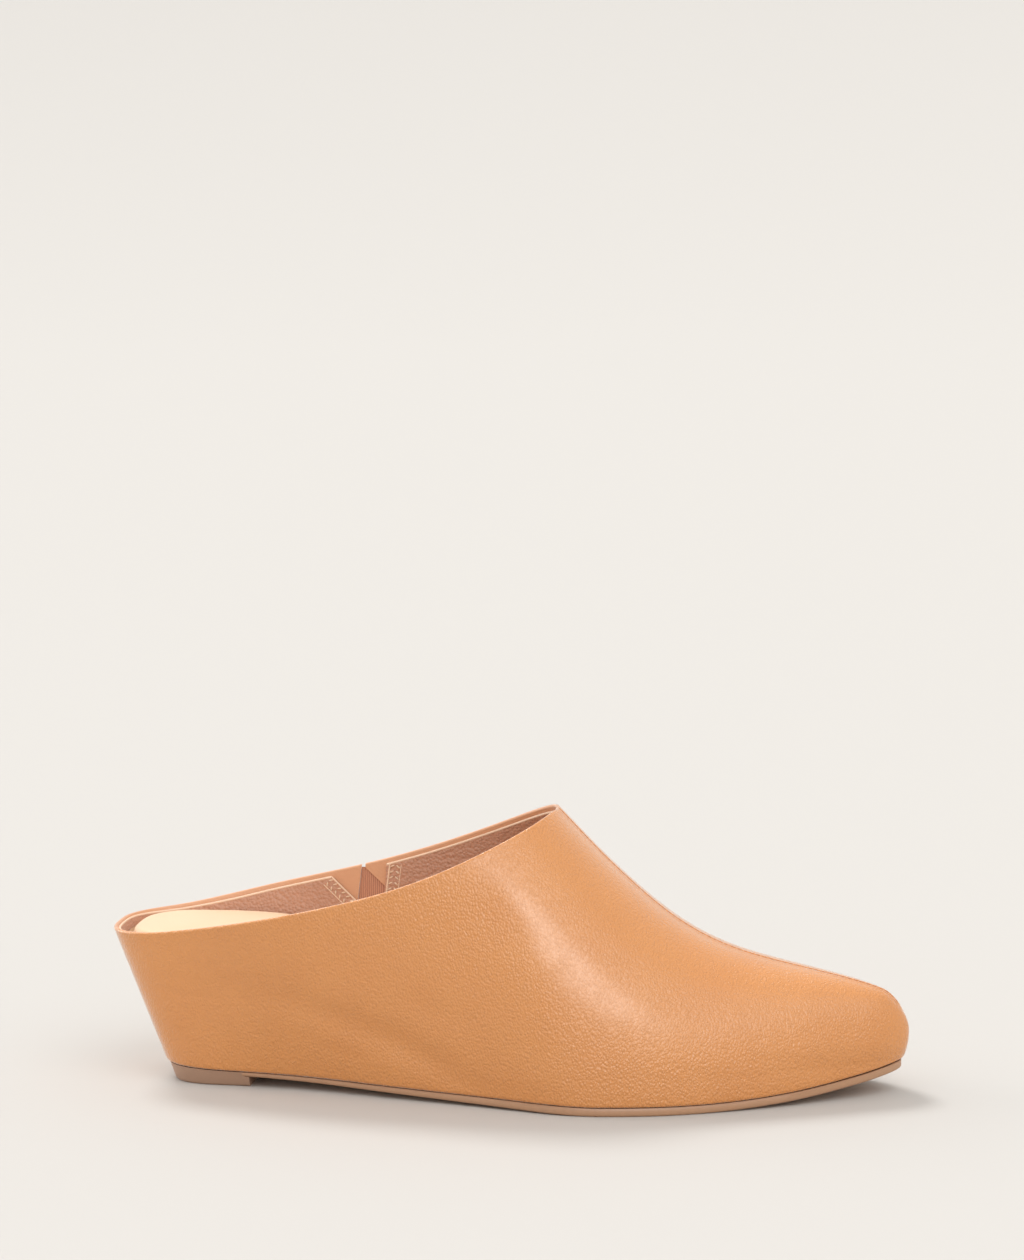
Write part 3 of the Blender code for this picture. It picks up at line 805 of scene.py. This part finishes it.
def plan_ring(edges, height, start=None, end=None, count=120):
    """A closed ring of points round an outline, at height(x), from x start to x end."""
    lateral, medial = edges
    first = lateral[0, 0] if start is None else start
    final = min(lateral[-1, 0], medial[-1, 0]) if end is None else end
    w = np.linspace(0, 1, count)
    if start is not None:
        share = np.sin(0.5 * np.pi * w)
    elif end is not None:
        share = 1 - np.cos(0.5 * np.pi * w)
    else:
        share = both_ends(count)
    x = first + (final - first) * share
    z = height(x)
    left = np.stack([x, np.interp(x, lateral[:, 0], lateral[:, 1]), z], -1)
    right = np.stack([x, np.interp(x, medial[:, 0], medial[:, 1]), z], -1)
    if start is None:
        right[0] = left[0] = (left[0] + right[0]) / 2
    if end is None:
        right[-1] = left[-1] = (left[-1] + right[-1]) / 2
    return np.concatenate([left, right[::-1]])


def drawn_in(ring, share, rise):
    """A ring drawn in toward its middle line and ends, and raised."""
    ring = ring.copy()
    middle = (ring + ring[::-1]) / 2
    centre = ring[:, 0].mean()
    ring[:, 1] = middle[:, 1] + (ring[:, 1] - middle[:, 1]) * share
    ring[:, 0] = centre + (ring[:, 0] - centre) * (1 - (1 - share) * PAD_ENDS)
    ring[:, 2] += rise
    return ring


def stack(name, rings, finish, angle=50):
    """A closed piece through rings from bottom to top, capped by strips across."""
    count = len(rings[0])
    numbers = [list(range(i * count, (i + 1) * count)) for i in range(len(rings))]
    faces = lace_rings(numbers)
    for row in (numbers[0], numbers[-1]):
        for i in range(count // 2 - 1):
            faces.append((row[i], row[i + 1], row[-2 - i], row[-1 - i]))
    return new_object(name, place(np.concatenate(rings)), faces, finish, angle)


def underside(x):
    """Height of the sole's underside."""
    return tread(station_of(x))


def bottom_edge(x):
    """Height of the upper's bottom edge."""
    return feather(station_of(x))


def under_upper(x):
    """Height that keeps a gap below the upper's bottom edge."""
    return bottom_edge(x) - GAP


def ground(x):
    """Height of the floor."""
    return np.zeros_like(x)


def raised(height, up):
    """The height(x), moved up."""
    return lambda x: height(x) + up


def pad_level(drop):
    """Height, as a function of x, at a drop below the footbed, sunk at the heel."""
    return lambda x: footbed(x) - drop - PAD_SINK * np.clip(1 - x / PAD_BACK_REACH, 0, 1)


def footbed(x):
    """Height of the insole's top along the shoe."""
    low = bottom_edge(x) + BOARD + INSOLE + GAP
    seat = SEAT_HEIGHT - float(feather(0.0)) - BOARD - INSOLE - GAP
    return low + seat * np.clip(column(FOOTBED, "rise", np.asarray(x, float) / LENGTH), 0, None)


def insole(finish):
    """The padded footbed, its edge softly rounded and drawn in at the back of the heel."""
    rings = []
    for turn in np.radians(PAD_TURNS):
        inward = PAD_ROUND * (1 - math.cos(max(turn, 0.0)))
        level = pad_level(PAD_ROUND * (1 - math.sin(turn)) if turn >= 0 else INSOLE)
        rings.append(plan_ring(outline(level, WALL + GAP + inward), level))
    top = rings[-1]
    rings += [drawn_in(top, share, INSOLE_CROWN * (1 - share**2)) for share in PAD_SHARES]
    back = min(ring[:, 0].min() for ring in rings)
    for ring in rings[1:]:
        near = np.clip(1 - (ring[:, 0] - back) / PAD_BACK_REACH, 0, 1) ** 2
        middle = (ring[:, 1] + ring[::-1, 1]) / 2
        ring[:, 0] += PAD_BACK * near
        ring[:, 1] = middle + (ring[:, 1] - middle) * (1 - PAD_NARROW * near)
    piece = stack("insole_pad", rings, finish)
    return dress(piece, "footbed_leather", "insole")


def outsole(finish):
    """The thin sole: bevelled below, its upper edge slightly rounded."""
    start = BACK_RAKE + LIFT_LENGTH - LIFT_LAP
    knee = OUTSOLE_BEVEL * BEVEL_KNEE
    steps = (
        (OUTSOLE_BEVEL, raised(underside, 0.0)),
        (knee, raised(underside, knee)),
        (0.0, raised(underside, OUTSOLE_BEVEL)),
        (0.0, raised(under_upper, -SOLE_TOP_DROP)),
        (SOLE_TOP_INSET, under_upper),
    )
    rings = [plan_ring(outline(bottom_edge, OUTSOLE_INSET + inward), height, start=start)
             for inward, height in steps]
    piece = stack("sole", rings, finish, 40)
    return dress(piece, "sole", "outsole")


def heel_lift(finish):
    """The low lift under the back of the sole, lapped by the sole's end."""
    end = BACK_RAKE + LIFT_LENGTH
    rings = []
    for inward, up in LIFT_STEPS:
        edge = outline(bottom_edge, OUTSOLE_INSET + LIFT_TAPER + LIFT_EDGE * inward)
        rings.append(plan_ring(edge, raised(ground, LIFT_EDGE * up), end=end))
    rings.append(plan_ring(outline(bottom_edge, OUTSOLE_INSET), under_upper, end=end))
    piece = stack("lift", rings, finish, 40)
    low = float(underside(end)) - LAP_PLAY
    high = low + 4 * OUTSOLE_BALL
    lap = end - LIFT_LAP - LAP_PLAY
    front = end + LIFT_LAP
    corners = [(lap, high), (lap + LAP_SLOPE, low), (front, low), (front, high)]
    cut(piece, prism("lap_step", corners, -BALL_WIDTH / 2, BALL_WIDTH / 2))
    return dress(piece, "lift", "heel_lift")


def tube(name, line, radius, finish, closed=True, sides=10):
    """A round bead along a line of points."""
    line = np.asarray(line)
    step = np.roll(line, -1, axis=0) - np.roll(line, 1, axis=0)
    if not closed:
        step[0], step[-1] = line[1] - line[0], line[-1] - line[-2]
    step = unit(step)
    side = unit(np.cross(step, (0, 0, 1.0)))
    up = np.cross(side, step)
    angles = np.linspace(0, 2 * np.pi, sides, endpoint=False)
    rings = line[:, None] + radius * (np.cos(angles)[None, :, None] * side[:, None]
                                      + np.sin(angles)[None, :, None] * up[:, None])
    count = len(line)
    numbers = [[i * sides + k for k in range(sides)] for i in range(count)]
    faces = lace_rings(numbers + ([numbers[0]] if closed else []))
    if not closed:
        faces += [tuple(numbers[0]), tuple(numbers[-1])]
    return new_object(name, rings.reshape(-1, 3), faces, finish)


def stitches(name, places, directions, normals, length, radius, finish):
    """Short rounded threads lying on a surface, in one mesh."""
    work = bmesh.new()
    for spot, along, normal in zip(places, directions, normals):
        along = Vector(along).normalized()
        normal = Vector(normal).normalized()
        side = along.cross(normal).normalized()
        turn = Matrix((along, side, normal)).transposed().to_4x4()
        scale = Matrix.Diagonal((length / 2, radius, radius, 1.0))
        matrix = Matrix.Translation(Vector(spot)) @ turn @ scale
        bmesh.ops.create_uvsphere(work, u_segments=8, v_segments=6, radius=1.0, matrix=matrix)
    mesh = bpy.data.meshes.new(name)
    work.to_mesh(mesh)
    work.free()
    mesh.shade_smooth()
    piece = bpy.data.objects.new(name, mesh)
    bpy.context.scene.collection.objects.link(piece)
    mesh.materials.append(finish)
    return piece


def centre_seam(finish):
    """Stitches along the ridge from the throat to the toe."""
    line = seam_line()
    walked = arc_lengths(line)
    last = np.interp(LENGTH - 2 * SEAM_END, line[:, 0], walked)
    stops = np.arange(SEAM_START, last, SEAM_PITCH)
    spots = np.stack([np.interp(stops, walked, line[:, i]) for i in range(3)], -1)
    along = np.gradient(spots, axis=0)
    normals = unit(np.cross(along, (0, 1.0, 0)))
    normals *= np.where(normals[:, 2:] < 0, -1, 1)
    piece = stitches("centre_stitches", place(spots), along, normals, SEAM_STITCH, THREAD, finish)
    return dress(piece, "upper_leather")


def wall_point(side, x, z, depth):
    """Point at x and z on a side of the upper, at a depth from its outside, and its outward normal."""
    def spot(x, z):
        back = BACK_RAKE * (COLLAR_BACK_HEIGHT - z) / (COLLAR_BACK_HEIGHT - float(feather(0.0)))
        at = (x - back) / (LENGTH - back)
        ts = np.linspace(0, 1, 400)
        line = section(side, np.full(400, at), ts)
        return np.array([np.interp(z, line[:, 2], line[:, i]) for i in range(3)])

    here = spot(x, z)
    normal = unit(np.cross(spot(x + MM, z) - here, spot(x, z + MM) - here))
    if normal[1] * side < 0:
        normal = -normal
    return place(here - normal * depth), normal


def cut_edges(finish, threads):
    """Turned edges of the lining's cut, with two rows of stitches beside each."""
    rear, front, low = cut_corners()
    beads, spots, ways, outs = [], [], [], []
    for number, (top, away) in enumerate(((rear, -1), (front, 1))):
        top, foot = np.array(top), np.array(low)
        top = top - (top - foot) * CUT_BEAD_START
        length = np.linalg.norm(foot - top)
        run = (foot - top) / length
        across = np.array([-run[1], run[0]])
        across *= away * np.sign(across[0])
        for offset, radius in CUT_BEADS:
            line = []
            for share in np.linspace(0, 1.0, CUT_BEAD_STEPS):
                x, z = top + (foot - top) * share + across * offset
                line.append(wall_point(1, x, z, LINING_IN + CUT_BEAD_LIFT)[0])
            name = f"cut_edge_{number}_{round(offset / MM)}"
            beads.append(tube(name, line, radius, finish, closed=False))
        for offset, slant in ((CUT_ROW, -CUT_SLANT), (CUT_BAND - CUT_ROW, CUT_SLANT)):
            for step in np.arange(CUT_ROW_START, length - CUT_ROW_END, CUT_PITCH):
                start = top + run * step + across * offset
                stop = start + (run * slant + across * CUT_ACROSS) * CUT_PITCH
                here, normal = wall_point(1, *start, LINING_IN + CUT_THREAD_LIFT)
                there = wall_point(1, *stop, LINING_IN + CUT_THREAD_LIFT)[0]
                spots.append(here)
                ways.append(there - here)
                outs.append(normal)
    for bead in beads:
        dress(bead, "upper_leather")
    sewn = stitches("cut_stitches", spots, ways, outs, CUT_PITCH * CUT_STITCH, CUT_THREAD, threads)
    dress(sewn, "upper_leather")


def node_tree(name):
    """A new material, its node tree and its shader."""
    made = bpy.data.materials.new(name)
    made.use_nodes = True
    return made, made.node_tree, made.node_tree.nodes["Principled BSDF"]


def own_place(tree):
    """Where a point lies on its piece."""
    return tree.nodes.new("ShaderNodeTexCoord").outputs["Object"]


def set_values(node, **values):
    """Set a node's inputs by name, with _ for a space."""
    for name, value in values.items():
        node.inputs[name.replace("_", " ")].default_value = value
    return node


def pattern(tree, kind, spot, **values):
    """A pattern node read at a place."""
    node = set_values(tree.nodes.new("ShaderNodeTex" + kind), **values)
    tree.links.new(spot, node.inputs["Vector"])
    return node


def add_up(tree, base, extra, share):
    """A height with a share of another on top."""
    node = tree.nodes.new("ShaderNodeMath")
    node.operation = "MULTIPLY_ADD"
    node.inputs[1].default_value = share
    tree.links.new(extra, node.inputs[0])
    tree.links.new(base, node.inputs[2])
    return node.outputs["Value"]


def emboss(tree, shader, height, depth, invert=False):
    """Turn a height into fine relief of the surface."""
    bump = set_values(tree.nodes.new("ShaderNodeBump"), Distance=depth)
    bump.invert = invert
    tree.links.new(height, bump.inputs["Height"])
    tree.links.new(bump.outputs["Normal"], shader.inputs["Normal"])


def tint(tree, shader, low, high, factor):
    """Colour the shader from low to high with a factor."""
    mix = tree.nodes.new("ShaderNodeMix")
    mix.data_type = "RGBA"
    mix.inputs["A"].default_value = (*low, 1)
    mix.inputs["B"].default_value = (*high, 1)
    tree.links.new(factor, mix.inputs["Factor"])
    tree.links.new(mix.outputs["Result"], shader.inputs["Base Color"])


def srgb(*levels):
    """A colour given as 0 to 255 screen values, as the shader wants it."""
    shares = [level / 255 for level in levels]
    return tuple(((c + 0.055) / 1.055) ** 2.4 if c > 0.04 else c / 12.92 for c in shares)


def leather(name, low, high, grain, depth, rough, sheen, stretch=(1.0, 1.0, 1.0), coat=0.0):
    """Grained leather: pebbles from a cell pattern and fine noise, colour clouds and uneven gloss."""
    made, tree, shader = node_tree(name)
    spot = own_place(tree)
    turn = tree.nodes.new("ShaderNodeMapping")
    set_values(turn, Rotation=(0.0, math.radians(GRAIN_TURN), 0.0), Scale=stretch)
    tree.links.new(spot, turn.inputs["Vector"])
    turned = turn.outputs["Vector"]
    cells = pattern(tree, "Voronoi", turned, Scale=1 / grain, Randomness=0.95)
    cells.feature = "SMOOTH_F1"
    set_values(cells, Smoothness=0.35)
    fine = pattern(tree, "Noise", turned, Scale=2.2 / grain, Detail=3.0)
    clouds = pattern(tree, "Noise", spot, Scale=45.0, Detail=4.0)
    height = add_up(tree, cells.outputs["Distance"], fine.outputs["Fac"], 0.35)
    emboss(tree, shader, height, depth, invert=True)
    tint(tree, shader, low, high, clouds.outputs["Fac"])
    spread = tree.nodes.new("ShaderNodeMapRange")
    set_values(spread, To_Min=rough - 0.05, To_Max=rough + 0.07)
    tree.links.new(fine.outputs["Fac"], spread.inputs["Value"])
    tree.links.new(spread.outputs["Result"], shader.inputs["Roughness"])
    set_values(shader, Sheen_Weight=sheen, Sheen_Roughness=0.3, Coat_Weight=coat, Coat_Roughness=0.3)
    return made


def plain(name, colour, rough, mottle=0.06, scale=400.0, depth=0.03 * MM):
    """A quiet material with a fine speckle in its colour and surface."""
    made, tree, shader = node_tree(name)
    spot = own_place(tree)
    speck = pattern(tree, "Noise", spot, Scale=scale, Detail=4.0).outputs["Fac"]
    low = tuple(c * (1 - mottle) for c in colour)
    high = tuple(min(1.0, c * (1 + mottle)) for c in colour)
    tint(tree, shader, low, high, speck)
    emboss(tree, shader, speck, depth)
    set_values(shader, Roughness=rough)
    return made


def knit(name, low, high):
    """Ribbed woven elastic: upright ribs crossed by fine rows, coloured darker in the hollows between ribs
    and lighter on their tops as painted shade.
    """
    made, tree, shader = node_tree(name)
    spot = own_place(tree)
    upright = pattern(tree, "Wave", spot, Scale=480.0)
    upright.bands_direction = "X"
    level = pattern(tree, "Wave", spot, Scale=700.0)
    level.bands_direction = "Z"
    height = add_up(tree, upright.outputs["Fac"], level.outputs["Fac"], 0.25)
    emboss(tree, shader, height, 0.12 * MM)
    # painted shade: the colour follows the rib height, darker in the hollows and lighter on the ribs
    tint(tree, shader, low, high, upright.outputs["Fac"])
    set_values(shader, Roughness=0.8)
    return made


def studio():
    """A pale round floor that sweeps up into the backdrop, soft lights and a pale sky."""
    profile = [(0.0, 0.0)]
    for rise in np.radians(np.linspace(0, FLOOR_SWEEP, FLOOR_RINGS)):
        profile.append((FLOOR_FLAT + FLOOR_CURVE * math.sin(rise),
                        FLOOR_CURVE - FLOOR_CURVE * math.cos(rise)))
    points = []
    for radius, height in profile:
        for k in range(FLOOR_SIDES):
            turn = 2 * math.pi * k / FLOOR_SIDES
            points.append((radius * math.cos(turn), radius * math.sin(turn), height))
    rings = [list(range(i * FLOOR_SIDES, (i + 1) * FLOOR_SIDES)) for i in range(len(profile))]
    made, _, shader = node_tree("pale_floor")
    set_values(shader, Base_Color=(*FLOOR_COLOUR, 1), Roughness=0.9, Specular_IOR_Level=0.1)
    new_object("studio_floor", points, lace_rings(rings), made)
    sky = bpy.data.worlds.new("sky")
    bpy.context.scene.world = sky
    sky.use_nodes = True
    set_values(sky.node_tree.nodes["Background"], Color=(*SKY_COLOUR, 1))
    for name, azimuth, elevation, spread, strength in SUNS:
        lamp = bpy.data.lights.new(name, "SUN")
        lamp.angle = math.radians(spread)
        lamp.energy = strength
        aimed(name, lamp, azimuth, elevation, SUN_DISTANCE)
    for name, azimuth, elevation, distance, width, height, power in SOFTBOXES:
        lamp = bpy.data.lights.new(name, "AREA")
        lamp.shape = "RECTANGLE"
        lamp.size, lamp.size_y = width, height
        lamp.energy = power
        aimed(name, lamp, azimuth, elevation, distance).visible_diffuse = False


def from_angles(azimuth, elevation):
    """Unit direction out from the shoe, in degrees from straight beside it and above the floor."""
    a, e = math.radians(azimuth), math.radians(elevation)
    return Vector((math.sin(a) * math.cos(e), -math.cos(a) * math.cos(e), math.sin(e)))


def aimed(name, lamp, azimuth, elevation, distance):
    """A lamp in the scene, turned toward the shoe's middle."""
    lamp.color = LAMP_COLOUR
    holder = bpy.data.objects.new(name, lamp)
    bpy.context.scene.collection.objects.link(holder)
    back = from_angles(azimuth, elevation)
    holder.location = Vector(place(AIM)) + back * distance
    holder.rotation_mode = "QUATERNION"
    holder.rotation_quaternion = back.to_track_quat("Z", "Y")
    return holder


def camera():
    """The photograph's view, without shift."""
    back = from_angles(VIEW_AZIMUTH, VIEW_ELEVATION)
    eye = Vector(place(AIM)) + back * VIEW_DISTANCE
    focal = VIEW_SCALE * VIEW_DISTANCE
    right = (-back).cross(Vector((0, 0, 1))).normalized()
    up = right.cross(-back)
    across = (AIM_PIXEL[0] - PICTURE[0] / 2) / focal
    down = (AIM_PIXEL[1] - PICTURE[1] / 2) / focal
    forward = (-back - right * across + up * down).normalized()
    right = (right - forward * right.dot(forward)).normalized()
    up = right.cross(forward)
    lens = bpy.data.cameras.new("view")
    lens.sensor_width = SENSOR
    lens.lens = focal / max(PICTURE) * lens.sensor_width
    lens.clip_start, lens.clip_end = CLIP
    holder = bpy.data.objects.new("view", lens)
    bpy.context.scene.collection.objects.link(holder)
    turn = Matrix((right, up, -forward)).transposed()
    holder.matrix_world = Matrix.Translation(eye) @ turn.to_4x4()
    bpy.context.scene.camera = holder


camera()
studio()
bpy.context.scene.view_settings.view_transform = "Standard"

tan = leather("tan_leather", srgb(212, 139, 74), srgb(221, 150, 84),
              grain=0.78 * MM, depth=0.30 * MM, rough=0.34, sheen=0.9, stretch=(1.15, 1.0, 0.85), coat=0.5)
mauve = leather("lining_leather", srgb(186, 136, 110), srgb(206, 154, 126),
                grain=1.0 * MM, depth=0.32 * MM, rough=0.5, sheen=0.2)
cream = leather("footbed_leather", srgb(228, 194, 158), srgb(235, 203, 168),
                grain=0.6 * MM, depth=0.04 * MM, rough=0.5, sheen=0.2)
fold = leather("folded_leather", srgb(214, 158, 120), srgb(222, 168, 130),
               grain=0.8 * MM, depth=0.06 * MM, rough=0.45, sheen=0.3)
piping = plain("piping_edge", srgb(236, 204, 176), 0.5)
thread = plain("seam_thread", srgb(196, 126, 78), 0.6)
cream_thread = plain("cream_thread", srgb(232, 204, 176), 0.6)
peach_knit = knit("elastic_knit", srgb(178, 118, 92), srgb(214, 156, 126))
edge = plain("sole_edge", srgb(188, 146, 114), 0.45, mottle=0.08, scale=600.0)
taupe = plain("lift_rubber", srgb(176, 141, 118), 0.55, mottle=0.05, scale=900.0)
cork = plain("cork_core", srgb(172, 132, 96), 0.85, mottle=0.35, scale=700.0, depth=0.2 * MM)

leather_upper(tan, fold)
lining(mauve, piping)
elastic(peach_knit)
centre_seam(thread)
cut_edges(piping, cream_thread)
insole(cream)
outsole(edge)
heel_lift(taupe)
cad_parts["wedge"].data.materials.clear()
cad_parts["wedge"].data.materials.append(cork)
